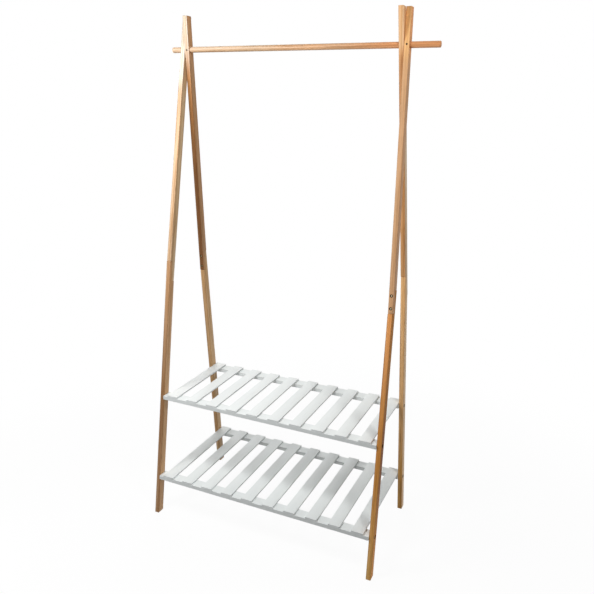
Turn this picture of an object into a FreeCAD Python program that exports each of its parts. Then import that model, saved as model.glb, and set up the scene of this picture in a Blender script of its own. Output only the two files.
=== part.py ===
import FreeCAD, Part
import os

import Sketcher

# A-frame clothes rack: two pairs of spliced wooden legs that cross at a round hanging rail,
# with two painted slatted shelves bolted between them. Millimetres, +Z up.
# The origin is on the floor under the middle of the hanging rail; X runs along the rail and
# -Y is the front.

Vector = FreeCAD.Vector

SIZES = {
    # Overall stance
    "total_height": 1650,
    "rail_drop": 102,
    "foot_spread": 393,
    "frame_span": 748,
    "upper_lean": 1.3,
    # Hanging rail
    "rail_overhang_left": 36.6,
    "rail_overhang_right": 84.6,
    "rail_diameter": 18,
    "rail_end_round": 2.5,
    "rail_fit": 0.8,
    "rail_wall": 3.6,
    # Leg stock
    "leg_thickness": 15,
    "leg_edge": 1.2,
    "leg_gap": 0.3,
    # Half-lap splice in each leg
    "splice_height": 834.5,
    "lap_length": 67,
    "lap_gap": 0.2,
    "shoulder_gap": 0.5,
    "splice_pitch": 37,
    "splice_shank": 6,
    "splice_head": 9,
    "splice_head_depth": 3.5,
    "splice_recess": 0.8,
    "splice_socket": 4,
    "splice_socket_depth": 2,
    "insert_diameter": 9,
    "insert_length": 9.5,
    # Clearances that every bolted or screwed fit shares
    "bolt_fit": 0.4,
    "thread_fit": 0.2,
    "tip_gap": 0.5,
    # Shelves
    "upper_shelf_height": 420.5,
    "lower_shelf_height": 141,
    "slat_count": 10,
    "slat_width": 38,
    "slat_thickness": 5,
    "slat_edge": 0.8,
    "slat_end_gap": 1.5,
    "shelf_rail_width": 36,
    "shelf_rail_thickness": 13,
    "shelf_rail_edge": 1,
    "shelf_end_gap": 0.2,
    # Shelf bolts, their barrel nuts and the screws under the slats
    "shelf_shank": 5,
    "shelf_head": 12,
    "shelf_head_depth": 4,
    "shelf_recess": 0.4,
    "shelf_tip": 5.5,
    "shelf_socket": 4,
    "shelf_socket_depth": 2.2,
    "barrel_diameter": 9,
    "barrel_short": 1,
    "barrel_setback": 22,
    "slat_screw_shank": 3,
    "slat_screw_head": 5.5,
    "slat_screw_head_depth": 1.8,
    "slat_screw_cover": 1,
    "slat_screw_spacing": 20,
    # Screws that lock the hanging rail in the legs
    "rail_screw_shank": 3,
    "rail_screw_head": 5,
    "rail_screw_head_depth": 1.2,
    "rail_screw_bite": 9,
}

document = FreeCAD.newDocument("clothes_rack")
sheet = document.addObject("Spreadsheet::Sheet", "sizes")
for row, (alias, value) in enumerate(SIZES.items(), start=1):
    sheet.set(f"A{row}", alias)
    sheet.set(f"B{row}", str(value))
    sheet.setAlias(f"B{row}", alias)
document.recompute()

# Relations between the sizes, as expressions over the sheet
RAIL_HEIGHT = "(sizes.total_height - sizes.rail_drop)"
LEG_WIDTH = "(sizes.rail_diameter + sizes.rail_fit + 2 * sizes.rail_wall)"
TILT = f"atan(sizes.foot_spread / 2 / {RAIL_HEIGHT})"
SPLICE_Y = f"(sizes.foot_spread / 2 * (1 - sizes.splice_height / {RAIL_HEIGHT}))"
RAIL_RISE = f"(({RAIL_HEIGHT} - sizes.splice_height) / cos(sizes.upper_lean * 1deg))"
TOP_RISE = "((sizes.total_height - sizes.splice_height) / cos(sizes.upper_lean * 1deg))"
HOLE_Y = f"({SPLICE_Y} * cos({TILT}) - {RAIL_RISE} * sin({TILT}))"
HOLE_Z = f"({SPLICE_Y} * sin({TILT}) + {RAIL_RISE} * cos({TILT}))"
# Half the width over the outer legs at the rail, the rail's length, and how far its middle lies
# to the right of the middle of the frames
RAIL_INSET = f"(({RAIL_HEIGHT} - sizes.splice_height) * tan(sizes.upper_lean * 1deg))"
OUTER_FACE = (
    "(sizes.frame_span / 2 + (sizes.leg_thickness + sizes.leg_gap) / 2"
    f" + sizes.leg_thickness / 2 / cos(sizes.upper_lean * 1deg) - {RAIL_INSET})"
)
RAIL_LENGTH = f"(2 * {OUTER_FACE} + sizes.rail_overhang_left + sizes.rail_overhang_right)"
RAIL_OFFSET = "((sizes.rail_overhang_right - sizes.rail_overhang_left) / 2)"
REAR_CLEAR = "(sizes.frame_span - sizes.leg_gap - 2 * sizes.leg_thickness)"
FRONT_CLEAR = "(sizes.frame_span + sizes.leg_gap)"
SLAT_STEP = (
    f"(({REAR_CLEAR} - 2 * sizes.slat_end_gap - sizes.slat_width) / (sizes.slat_count - 1))"
)
# How far a shelf bolt reaches into its rail, and how deep a slat's screw holes are
SHELF_REACH = "(sizes.barrel_setback + sizes.barrel_diameter / 2 + sizes.shelf_tip)"
SCREW_HOLE = "(sizes.slat_thickness - sizes.slat_screw_cover)"
SHELF_HEIGHTS = {"upper": "sizes.upper_shelf_height", "lower": "sizes.lower_shelf_height"}
SHELF_MID = {
    level: f"({height} - sizes.slat_thickness - sizes.shelf_rail_thickness / 2)"
    for level, height in SHELF_HEIGHTS.items()
}
SHELF_Y = {
    level: f"(sizes.foot_spread / 2 * (1 - {mid} / {RAIL_HEIGHT}))"
    for level, mid in SHELF_MID.items()
}

# Which way each origin plane of a body faces along its own axis
FACING = {"YZ_Plane": 1, "XZ_Plane": -1, "XY_Plane": 1}
SIDES = {"left": -1, "right": 1}
DEPTHS = {"front": -1, "rear": 1}


def number(expression):
    """Value of an expression over the sheet, in millimetres or degrees."""
    result = sheet.evalExpression(expression)
    return float(getattr(result, "Value", result))


def origin_feature(body, role):
    """Origin plane or axis of a body by its role."""
    return next(item for item in body.Origin.OriginFeatures if item.Role == role)


def new_body(label):
    """Empty body whose label names the piece."""
    body = document.addObject("PartDesign::Body", label)
    body.Label = label
    return body


def new_sketch(body, plane, station="0"):
    """Sketch on one of the body's origin planes, moved along that plane's axis to a station."""
    sketch = body.newObject("Sketcher::SketchObject", f"{body.Name}_sketch")
    sketch.AttachmentSupport = [(origin_feature(body, plane), "")]
    sketch.MapMode = "FlatFace"
    if station != "0":
        sketch.setExpression("AttachmentOffset.Base.z", f"{FACING[plane]} * ({station})")
    return sketch


def hold_point(sketch, geometry, point, across, along):
    """Dimension one point of a sketch from its origin by two expressions."""
    for kind, axis, expression in (("DistanceX", -2, across), ("DistanceY", -1, along)):
        if expression == "0":
            sketch.addConstraint(Sketcher.Constraint("PointOnObject", geometry, point, axis))
            continue
        rule = Sketcher.Constraint(kind, -1, 1, geometry, point, number(expression))
        index = sketch.addConstraint(rule)
        sketch.setExpression(f"Constraints[{index}]", expression)


def draw_polygon(sketch, corners):
    """Closed outline through corners given as pairs of expressions."""
    points = [Vector(number(across), number(along), 0) for across, along in corners]
    count = len(points)
    for index in range(count):
        line = Part.LineSegment(points[index], points[(index + 1) % count])
        sketch.addGeometry(line, False)
    for index in range(count):
        sketch.addConstraint(Sketcher.Constraint("Coincident", index, 2, (index + 1) % count, 1))
    for index, (across, along) in enumerate(corners):
        hold_point(sketch, index, 1, across, along)


def draw_rectangle(sketch, width, height):
    """Rectangle centred on the sketch's origin."""
    half_w = f"({width}) / 2"
    half_h = f"({height}) / 2"
    corners = [
        (f"-({half_w})", f"-({half_h})"),
        (half_w, f"-({half_h})"),
        (half_w, half_h),
        (f"-({half_w})", half_h),
    ]
    draw_polygon(sketch, corners)


def draw_circle(sketch, across, along, diameter):
    """Circle with its centre and diameter given as expressions."""
    centre = Vector(number(across), number(along), 0)
    circle = Part.Circle(centre, Vector(0, 0, 1), number(diameter) / 2)
    index = sketch.addGeometry(circle, False)
    hold_point(sketch, index, 3, across, along)
    rule = sketch.addConstraint(Sketcher.Constraint("Diameter", index, number(diameter)))
    sketch.setExpression(f"Constraints[{rule}]", diameter)


def add_pad(body, sketch, length, symmetric):
    """Pad a sketch, to one side or evenly to both."""
    pad = body.newObject("PartDesign::Pad", f"{body.Name}_pad")
    pad.Profile = sketch
    pad.SideType = "Symmetric" if symmetric else "One side"
    pad.setExpression("Length", length)
    sketch.Visibility = False
    document.recompute()
    return pad


def add_bore(body, plane, station, heading, circles, length):
    """Drill circles from a station on a plane's axis, towards plus or minus that axis."""
    before = body.Tip.Shape.Volume
    sketch = new_sketch(body, plane, station)
    for across, along, diameter in circles:
        draw_circle(sketch, across, along, diameter)
    pocket = body.newObject("PartDesign::Pocket", f"{body.Name}_bore")
    pocket.Profile = sketch
    pocket.Reversed = heading == FACING[plane]
    pocket.setExpression("Length", length)
    document.recompute()
    if pocket.Shape.isNull() or pocket.Shape.Volume > before - 0.5:
        raise RuntimeError(f"{pocket.Label} removed nothing")
    return pocket


def add_fillet(body, feature, radius, wanted):
    """Round the edges of a feature that a test on each edge picks."""
    names = [
        f"Edge{index}" for index, edge in enumerate(feature.Shape.Edges, start=1) if wanted(edge)
    ]
    fillet = body.newObject("PartDesign::Fillet", f"{body.Name}_edges")
    fillet.Base = (feature, names)
    fillet.setExpression("Radius", radius)
    document.recompute()
    return fillet


def runs_along(edge, axis):
    """Whether a straight edge runs along an axis, given as a unit vector."""
    if edge.Curve.TypeId != "Part::GeomLine":
        return False
    return abs(edge.tangentAt(edge.FirstParameter).dot(axis)) > 0.999


def leg_place(side, depth, leans):
    """Placement expression of a leg piece, whose own origin is the middle of its splice."""
    out = f"{side} * (sizes.frame_span / 2 - {depth} * (sizes.leg_thickness + sizes.leg_gap) / 2)"
    yaw = "0" if depth < 0 else "180"
    pitch = f"{leg_pitch(side, depth)}" if leans else "0"
    spot = f"vector(-{RAIL_OFFSET} + {out}; {depth} * {SPLICE_Y}; sizes.splice_height)"
    return f"placement({spot}; rotation({yaw}; {pitch}; -{TILT}))"


def leg_pitch(side, depth):
    """Inward lean of an upper leg piece about its own Y axis."""
    return f"({side * depth} * sizes.upper_lean * 1deg)"


def ease_leg(body, pad):
    """Round the four long outer edges of a leg piece."""
    half_x = number("sizes.leg_thickness / 2")
    half_y = number(f"{LEG_WIDTH} / 2")

    def outer(edge):
        middle = edge.CenterOfMass
        at_corner = abs(abs(middle.x) - half_x) < 0.01 and abs(abs(middle.y) - half_y) < 0.01
        return at_corner and runs_along(edge, Vector(0, 0, 1))

    return add_fillet(body, pad, "sizes.leg_edge", outer)


def make_upper_leg(label, side, depth, tongue):
    """Upper leg piece; tongue is the side of its own Y axis that its half of the lap is on."""
    body = new_body(label)
    outer = f"{tongue} * {LEG_WIDTH} / 2"
    other = f"{-tongue} * {LEG_WIDTH} / 2"
    inner = f"{tongue} * sizes.lap_gap / 2"
    shoulder = "sizes.lap_length / 2 + sizes.shoulder_gap"

    def top(across):
        return f"{TOP_RISE} / cos({TILT}) + {across} * tan({TILT})"

    sketch = new_sketch(body, "YZ_Plane")
    corners = [
        (outer, "-sizes.lap_length / 2"),
        (inner, "-sizes.lap_length / 2"),
        (inner, shoulder),
        (other, shoulder),
        (other, top(other)),
        (outer, top(outer)),
    ]
    draw_polygon(sketch, corners)
    pad = add_pad(body, sketch, "sizes.leg_thickness", True)
    ease_leg(body, pad)
    rail_hole = [(HOLE_Y, HOLE_Z, "sizes.rail_diameter + sizes.rail_fit")]
    full = "sizes.leg_thickness + 2"
    add_bore(body, "YZ_Plane", "-sizes.leg_thickness / 2 - 1", 1, rail_hole, full)
    bolt_spots = ("sizes.splice_pitch / 2", "-sizes.splice_pitch / 2")
    shanks = [("0", spot, "sizes.splice_shank + sizes.bolt_fit") for spot in bolt_spots]
    add_bore(body, "XZ_Plane", "0", tongue, shanks, LEG_WIDTH)
    heads = [("0", spot, "sizes.splice_head + sizes.bolt_fit") for spot in bolt_spots]
    seat = f"{tongue} * ({LEG_WIDTH} / 2 - sizes.splice_head_depth - sizes.splice_recess)"
    add_bore(body, "XZ_Plane", seat, tongue, heads, LEG_WIDTH)
    lock = [("0", HOLE_Z, "sizes.rail_screw_shank + sizes.thread_fit")]
    add_bore(body, "XZ_Plane", "0", tongue, lock, LEG_WIDTH)
    lock_head = [("0", HOLE_Z, "sizes.rail_screw_head + sizes.bolt_fit")]
    lock_seat = f"{tongue} * ({LEG_WIDTH} / 2 - sizes.rail_screw_head_depth)"
    add_bore(body, "XZ_Plane", lock_seat, tongue, lock_head, LEG_WIDTH)
    body.setExpression("Placement", leg_place(side, depth, True))
    return body


def make_lower_leg(label, side, depth, tongue):
    """Lower leg piece, with its half of the lap on the side that the upper tongue leaves free."""
    body = new_body(label)
    outer = f"{-tongue} * {LEG_WIDTH} / 2"
    other = f"{tongue} * {LEG_WIDTH} / 2"
    inner = f"{-tongue} * sizes.lap_gap / 2"
    shoulder = "-sizes.lap_length / 2 - sizes.shoulder_gap"

    def foot(across):
        return f"-sizes.splice_height / cos({TILT}) + {across} * tan({TILT})"

    sketch = new_sketch(body, "YZ_Plane")
    corners = [
        (other, foot(other)),
        (outer, foot(outer)),
        (outer, "sizes.lap_length / 2"),
        (inner, "sizes.lap_length / 2"),
        (inner, shoulder),
        (other, shoulder),
    ]
    draw_polygon(sketch, corners)
    pad = add_pad(body, sketch, "sizes.leg_thickness", True)
    ease_leg(body, pad)
    # The lap bolts follow the leaning upper piece, so their holes here step aside with it
    drift = f"sizes.splice_pitch / 2 * cos({TILT}) * sin({leg_pitch(side, depth)})"
    inserts = [
        (f"{sign}{drift}", f"{sign}sizes.splice_pitch / 2", "sizes.insert_diameter + sizes.thread_fit")
        for sign in ("", "-")
    ]
    add_bore(body, "XZ_Plane", "0", -tongue, inserts, "sizes.insert_length + sizes.tip_gap")
    # Shelf bolts come in from the outer side, which is the other way round on a turned rear leg
    outside = -side * depth
    spots = [f"({mid} - sizes.splice_height) / cos({TILT})" for mid in SHELF_MID.values()]
    shanks = [("0", spot, "sizes.shelf_shank + sizes.bolt_fit") for spot in spots]
    full = "sizes.leg_thickness + 2"
    add_bore(body, "YZ_Plane", "-sizes.leg_thickness / 2 - 1", 1, shanks, full)
    heads = [("0", spot, "sizes.shelf_head + sizes.bolt_fit") for spot in spots]
    seat = f"{outside} * (sizes.leg_thickness / 2 - sizes.shelf_head_depth - sizes.shelf_recess)"
    add_bore(body, "YZ_Plane", seat, outside, heads, full)
    body.setExpression("Placement", leg_place(side, depth, False))
    return body


def make_hanging_rail(label):
    """Round rail with eased ends and four pilot holes for its lock screws."""
    body = new_body(label)
    sketch = new_sketch(body, "YZ_Plane")
    draw_circle(sketch, "0", "0", "sizes.rail_diameter")
    pad = add_pad(body, sketch, RAIL_LENGTH, True)

    def rim(edge):
        return edge.Curve.TypeId == "Part::GeomCircle"

    add_fillet(body, pad, "sizes.rail_end_round", rim)
    for side in SIDES.values():
        for depth in DEPTHS.values():
            add_pilot(body, side, depth)
    body.setExpression("Placement", f"placement(vector(0; 0; {RAIL_HEIGHT}); rotation(0; 0; 0))")
    return body


def add_pilot(body, side, depth):
    """Pilot hole in the rail, square to the face of the leg that its lock screw comes through."""
    before = body.Tip.Shape.Volume
    spread = f"(sizes.frame_span / 2 - {depth} * (sizes.leg_thickness + sizes.leg_gap) / 2)"
    spot = f"-{RAIL_OFFSET} + {side} * ({spread} - {RAIL_INSET})"
    # The screw enters from the front on the right front and left rear legs, else from the back
    from_front = side * depth < 0
    turn = f"{depth} * {TILT}"
    start = "(sizes.rail_diameter / 2 - sizes.rail_screw_bite - sizes.tip_gap)"
    sketch = new_sketch(body, "XZ_Plane")
    sign = 1 if from_front else -1
    lift = f"{sign} * {start}"
    offset = f"vector(0; -{lift} * sin({turn}); {lift} * cos({turn}))"
    sketch.setExpression("AttachmentOffset", f"placement({offset}; rotation(0; 0; {turn}))")
    draw_circle(sketch, spot, "0", "sizes.rail_screw_shank + sizes.thread_fit")
    pocket = body.newObject("PartDesign::Pocket", f"{body.Name}_pilot")
    pocket.Profile = sketch
    pocket.Reversed = from_front
    pocket.setExpression("Length", "sizes.rail_diameter")
    document.recompute()
    if pocket.Shape.Volume > before - 1:
        raise RuntimeError(f"{pocket.Label} removed nothing")


def make_shelf_rail(label, level, depth):
    """Flat rail that carries one edge of a shelf between two legs."""
    body = new_body(label)
    clear = FRONT_CLEAR if depth < 0 else REAR_CLEAR
    length = f"({clear} - 2 * sizes.shelf_end_gap)"
    sketch = new_sketch(body, "YZ_Plane")
    draw_rectangle(sketch, "sizes.shelf_rail_width", "sizes.shelf_rail_thickness")
    pad = add_pad(body, sketch, length, True)

    def long_edge(edge):
        return runs_along(edge, Vector(1, 0, 0))

    add_fillet(body, pad, "sizes.shelf_rail_edge", long_edge)
    bore = [("0", "0", "sizes.shelf_shank + sizes.bolt_fit")]
    reach = f"{SHELF_REACH} + sizes.tip_gap"
    add_bore(body, "YZ_Plane", f"{length} / 2", -1, bore, reach)
    add_bore(body, "YZ_Plane", f"-{length} / 2", 1, bore, reach)
    under = "-sizes.shelf_rail_thickness / 2"
    barrel = f"({length} / 2 - sizes.barrel_setback)"
    wells = [
        (f"{sign}{barrel}", "0", "sizes.barrel_diameter + sizes.thread_fit") for sign in ("", "-")
    ]
    add_bore(body, "XY_Plane", under, 1, wells, "sizes.shelf_rail_thickness + 1")
    first = f"-{SLAT_STEP} * (sizes.slat_count - 1) / 2"
    rows = ("sizes.slat_screw_spacing / 2", "-sizes.slat_screw_spacing / 2")
    shanks = [(first, place, "sizes.slat_screw_shank + sizes.thread_fit") for place in rows]
    holes = add_bore(body, "XY_Plane", under, 1, shanks, "sizes.shelf_rail_thickness + 1")
    heads = [(first, place, "sizes.slat_screw_head + sizes.bolt_fit") for place in rows]
    seats = add_bore(body, "XY_Plane", under, 1, heads, "sizes.slat_screw_head_depth")
    pattern = body.newObject("PartDesign::LinearPattern", f"{label}_screw_holes")
    pattern.Originals = [holes, seats]
    pattern.Direction = (origin_feature(body, "X_Axis"), [""])
    pattern.setExpression("Length", f"{SLAT_STEP} * (sizes.slat_count - 1)")
    pattern.setExpression("Occurrences", "sizes.slat_count")
    body.Tip = pattern
    spot = f"vector(-{RAIL_OFFSET}; {depth} * {SHELF_Y[level]}; {SHELF_MID[level]})"
    body.setExpression("Placement", f"placement({spot}; rotation(0; 0; 0))")
    document.recompute()
    return body


def slat_x(index):
    """Expression for where a slat's middle lies along X, counted from the left."""
    return f"(-{RAIL_OFFSET} + ({index} - (sizes.slat_count - 1) / 2) * {SLAT_STEP})"


def make_slat(label, level, index):
    """One slat, resting on both rails of its shelf, with blind holes for its screws."""
    body = new_body(label)
    length = f"(2 * {SHELF_Y[level]} + sizes.shelf_rail_width)"
    sketch = new_sketch(body, "XY_Plane")
    draw_rectangle(sketch, "sizes.slat_width", length)
    pad = add_pad(body, sketch, "sizes.slat_thickness", False)

    def long_edge(edge):
        return runs_along(edge, Vector(0, 1, 0))

    add_fillet(body, pad, "sizes.slat_edge", long_edge)
    holes = []
    for depth in DEPTHS.values():
        for row in (-1, 1):
            along = f"{depth} * {SHELF_Y[level]} + {row} * sizes.slat_screw_spacing / 2"
            holes.append(("0", along, "sizes.slat_screw_shank + sizes.thread_fit"))
    add_bore(body, "XY_Plane", "0", 1, holes, SCREW_HOLE)
    seat = f"{SHELF_HEIGHTS[level]} - sizes.slat_thickness"
    body.setExpression("Placement", f"placement(vector({slat_x(index)}; 0; {seat}); rotation(0; 0; 0))")
    return body


def make_fastener(label, head, head_depth, shank, length, socket=None, socket_depth=None):
    """Headed fastener; its origin is under the head and its shank runs down -Z."""
    body = new_body(label)
    sketch = new_sketch(body, "XZ_Plane")
    corners = [
        ("0", f"-({length})"),
        (f"{shank} / 2", f"-({length})"),
        (f"{shank} / 2", "0"),
        (f"{head} / 2", "0"),
        (f"{head} / 2", head_depth),
        ("0", head_depth),
    ]
    draw_polygon(sketch, corners)
    turned = body.newObject("PartDesign::Revolution", f"{label}_turned")
    turned.Profile = sketch
    turned.ReferenceAxis = (sketch, ["V_Axis"])
    turned.Angle = 360
    document.recompute()
    if socket:
        well = new_sketch(body, "XY_Plane", head_depth)
        radius = f"{socket} / 2 / cos(30deg)"
        corners = [
            (f"{radius} * cos({turn}deg)", f"{radius} * sin({turn}deg)")
            for turn in (15, 75, 135, 195, 255, 315)
        ]
        draw_polygon(well, corners)
        pocket = body.newObject("PartDesign::Pocket", f"{label}_socket")
        pocket.Profile = well
        pocket.setExpression("Length", socket_depth)
        document.recompute()
    return body


def make_sleeve(label, outer, bore, length):
    """Threaded insert, drawn as a plain sleeve from its origin along +Z."""
    body = new_body(label)
    sketch = new_sketch(body, "XY_Plane")
    draw_circle(sketch, "0", "0", outer)
    draw_circle(sketch, "0", "0", bore)
    add_pad(body, sketch, length, False)
    return body


def make_barrel(label):
    """Barrel nut: a short cylinder on Z with a cross bore along X."""
    body = new_body(label)
    sketch = new_sketch(body, "XY_Plane")
    draw_circle(sketch, "0", "0", "sizes.barrel_diameter")
    add_pad(body, sketch, "sizes.shelf_rail_thickness - sizes.barrel_short", True)
    bore = [("0", "0", "sizes.shelf_shank + sizes.thread_fit")]
    add_bore(body, "YZ_Plane", "-sizes.barrel_diameter", 1, bore, "2 * sizes.barrel_diameter")
    return body


def make_group(label, master, places):
    """Identical pieces as one node: linked copies of a master, each at its own placement."""
    copies = []
    for index, place in enumerate(places, start=1):
        link = document.addObject("App::Link", f"{label}_{index:02d}")
        link.LinkedObject = master
        link.LinkTransform = False
        link.setExpression("Placement", place)
        copies.append(link)
    group = document.addObject("Part::Compound", label)
    group.Label = label
    group.Links = copies
    document.recompute()
    return group


# Leg pieces, and the fasteners that follow each of them
nodes = []
splice_places = []
insert_places = []
lock_places = []
for side_name, side in SIDES.items():
    for depth_name, depth in DEPTHS.items():
        tongue = -side
        stem = f"{side_name}_{depth_name}"
        upper = make_upper_leg(f"{stem}_upper_leg", side, depth, tongue)
        lower = make_lower_leg(f"{stem}_lower_leg", side, depth, tongue)
        nodes += [upper, lower]
        turn = f"rotation(0; 0; {-90 * tongue})"
        seat = f"{tongue} * ({LEG_WIDTH} / 2 - sizes.splice_head_depth - sizes.splice_recess)"
        drift = f"sizes.splice_pitch / 2 * cos({TILT}) * sin({leg_pitch(side, depth)})"
        back = f"rotation(0; 0; {90 * tongue})"
        for sign in ("", "-"):
            spot = f"vector(0; {seat}; {sign}sizes.splice_pitch / 2)"
            splice_places.append(f"{upper.Name}.Placement * placement({spot}; {turn})")
            hold = f"{-tongue} * sizes.lap_gap / 2"
            spot = f"vector({sign}{drift}; {hold}; {sign}sizes.splice_pitch / 2)"
            insert_places.append(f"{lower.Name}.Placement * placement({spot}; {back})")
        lock_seat = f"{tongue} * ({LEG_WIDTH} / 2 - sizes.rail_screw_head_depth)"
        spot = f"vector(0; {lock_seat}; {HOLE_Z})"
        lock_places.append(f"{upper.Name}.Placement * placement({spot}; {turn})")

nodes.append(make_hanging_rail("hanging_rail"))

# Shelves, with their bolts, barrel nuts and screws
bolt_places = []
barrel_places = []
screw_places = {"upper": [], "lower": []}
for level in SHELF_HEIGHTS:
    for depth_name, depth in DEPTHS.items():
        nodes.append(make_shelf_rail(f"{level}_shelf_{depth_name}_rail", level, depth))
        place_y = f"{depth} * {SHELF_Y[level]}"
        clear = FRONT_CLEAR if depth < 0 else REAR_CLEAR
        for side in SIDES.values():
            seat = (
                f"{clear} / 2 + sizes.leg_thickness - sizes.shelf_head_depth - sizes.shelf_recess"
            )
            spot = f"vector(-{RAIL_OFFSET} + {side} * ({seat}); {place_y}; {SHELF_MID[level]})"
            bolt_places.append(f"placement({spot}; rotation(0; {90 * side}; 0))")
            well = f"{clear} / 2 - sizes.shelf_end_gap - sizes.barrel_setback"
            spot = f"vector(-{RAIL_OFFSET} + {side} * ({well}); {place_y}; {SHELF_MID[level]})"
            barrel_places.append(f"placement({spot}; rotation(0; 0; 0))")
        for index in range(int(number("sizes.slat_count"))):
            for row in (-1, 1):
                along = f"{place_y} + {row} * sizes.slat_screw_spacing / 2"
                under = (
                    f"{SHELF_MID[level]} - sizes.shelf_rail_thickness / 2"
                    " + sizes.slat_screw_head_depth"
                )
                spot = f"vector({slat_x(index)}; {along}; {under})"
                screw_places[level].append(f"placement({spot}; rotation(0; 0; 180))")
    for index in range(int(number("sizes.slat_count"))):
        nodes.append(make_slat(f"{level}_shelf_slat_{index + 1:02d}", level, index))

# Fasteners, one master of each kind
splice_reach = (
    f"{LEG_WIDTH} / 2 - sizes.splice_head_depth - sizes.splice_recess"
    " + sizes.lap_gap / 2 + sizes.insert_length - sizes.tip_gap"
)
splice_bolt = make_fastener(
    "splice_bolt_master",
    "sizes.splice_head",
    "sizes.splice_head_depth",
    "sizes.splice_shank",
    splice_reach,
    "sizes.splice_socket",
    "sizes.splice_socket_depth",
)
splice_insert = make_sleeve(
    "splice_insert_master",
    "sizes.insert_diameter",
    "sizes.splice_shank + sizes.thread_fit",
    "sizes.insert_length",
)
shelf_length = (
    "sizes.leg_thickness - sizes.shelf_head_depth - sizes.shelf_recess"
    f" + sizes.shelf_end_gap + {SHELF_REACH} - sizes.tip_gap"
)
shelf_bolt = make_fastener(
    "shelf_bolt_master",
    "sizes.shelf_head",
    "sizes.shelf_head_depth",
    "sizes.shelf_shank",
    shelf_length,
    "sizes.shelf_socket",
    "sizes.shelf_socket_depth",
)
barrel_nut = make_barrel("barrel_nut_master")
slat_screw = make_fastener(
    "slat_screw_master",
    "sizes.slat_screw_head",
    "sizes.slat_screw_head_depth",
    "sizes.slat_screw_shank",
    f"sizes.shelf_rail_thickness - sizes.slat_screw_head_depth + {SCREW_HOLE} - sizes.tip_gap",
)
rail_screw = make_fastener(
    "rail_screw_master",
    "sizes.rail_screw_head",
    "sizes.rail_screw_head_depth",
    "sizes.rail_screw_shank",
    f"{LEG_WIDTH} / 2 - sizes.rail_screw_head_depth - sizes.rail_diameter / 2"
    " + sizes.rail_screw_bite",
)
nodes.append(make_group("splice_bolts", splice_bolt, splice_places))
nodes.append(make_group("splice_inserts", splice_insert, insert_places))
nodes.append(make_group("shelf_bolts", shelf_bolt, bolt_places))
nodes.append(make_group("shelf_barrel_nuts", barrel_nut, barrel_places))
nodes.append(make_group("rail_screws", rail_screw, lock_places))
nodes.append(make_group("upper_slat_screws", slat_screw, screw_places["upper"]))
nodes.append(make_group("lower_slat_screws", slat_screw, screw_places["lower"]))

document.recompute()
for item in document.Objects:
    if "Invalid" in item.State or "Error" in item.State:
        raise RuntimeError(f"{item.Label} failed to recompute: {item.State}")
for node in nodes:
    if node.Shape.isNull() or not node.Shape.isValid():
        raise RuntimeError(f"{node.Label} has no valid shape")

os.makedirs("parts", exist_ok=True)
for node in nodes:
    node.Shape.exportStep(f"parts/{node.Label}.step")
    print(f"{node.Label}: {len(node.Shape.Solids)} solid(s), {node.Shape.Volume:.0f} mm3")
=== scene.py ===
"""Coat rack: crossed wooden legs, a round hanging rail and two painted slatted shelves.

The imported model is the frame. Legs, rail, slats and fasteners are rebuilt on it with their eased edges,
grain, paint and steel, and the shelf rails and hidden hardware keep their own solids. Sizes are in
millimetres until they reach a mesh, +Z is up, X runs along the rail and -Y is the front.
"""

import logging
import math
from collections.abc import Callable, Iterable, Sequence
from dataclasses import dataclass, field
from enum import Enum
from functools import cache
from typing import Any, ClassVar

import bmesh
import bpy
from bpy.types import Material, Mesh, Node, NodeOutputs, NodeSocket, NodeTree, Object, World
from mathutils import Matrix, Vector


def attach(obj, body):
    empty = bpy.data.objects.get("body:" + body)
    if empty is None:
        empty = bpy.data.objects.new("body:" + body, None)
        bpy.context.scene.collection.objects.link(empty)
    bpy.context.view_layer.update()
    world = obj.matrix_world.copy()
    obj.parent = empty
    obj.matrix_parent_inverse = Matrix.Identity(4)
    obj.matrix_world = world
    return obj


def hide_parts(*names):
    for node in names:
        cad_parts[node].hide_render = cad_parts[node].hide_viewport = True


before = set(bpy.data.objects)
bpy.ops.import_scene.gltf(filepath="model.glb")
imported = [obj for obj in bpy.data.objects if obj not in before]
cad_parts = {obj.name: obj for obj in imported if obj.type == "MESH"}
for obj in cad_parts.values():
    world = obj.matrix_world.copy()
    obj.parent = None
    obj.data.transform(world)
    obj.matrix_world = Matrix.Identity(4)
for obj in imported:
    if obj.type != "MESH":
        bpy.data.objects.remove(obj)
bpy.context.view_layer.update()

MM = 0.001
BODY = "root"
Colour = tuple[float, float, float, float]
Point = tuple[float, float, float]
Radius = float | Callable[[float], float]
Ring = tuple[Radius, float]
Hole = tuple[list[Ring], Matrix]
Sockets = dict[str, tuple[str, ...]]
Effect = tuple[NodeTree, dict[str, Any]]
Tones = tuple[str, str, str]

WHITE: Colour = (1.0, 1.0, 1.0, 1.0)
SURFACE: Sockets = {"Color": ("Colour",), "Float": ("Roughness", "Height")}
GEOMETRY: Sockets = {"Geometry": ("Geometry",)}
STAGES = ("First", "Middle", "End")

# Where a stick's front face and its painted edge shade begin and end, in metres from its middle line
FACE_FADE = (-0.0095, -0.0125)
SHADE_EDGE_ACROSS = (0.0048, 0.0074)
SHADE_EDGE_DEEP = (0.0106, 0.0129)

log = logging.getLogger("coat_rack")


class Side(Enum):
    """Which leg frame, by the sign of X."""

    LEFT = -1
    RIGHT = 1


class Depth(Enum):
    """Which leg of a frame, by the sign of Y at the floor."""

    FRONT = -1
    REAR = 1


class Half(Enum):
    """Which piece of a spliced leg."""

    UPPER = "upper"
    LOWER = "lower"


class Level(Enum):
    """Which shelf."""

    UPPER = "upper"
    LOWER = "lower"


class Drive(Enum):
    """Recess that a fastener is turned by."""

    HEX = "hex"
    CROSS = "cross"


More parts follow.
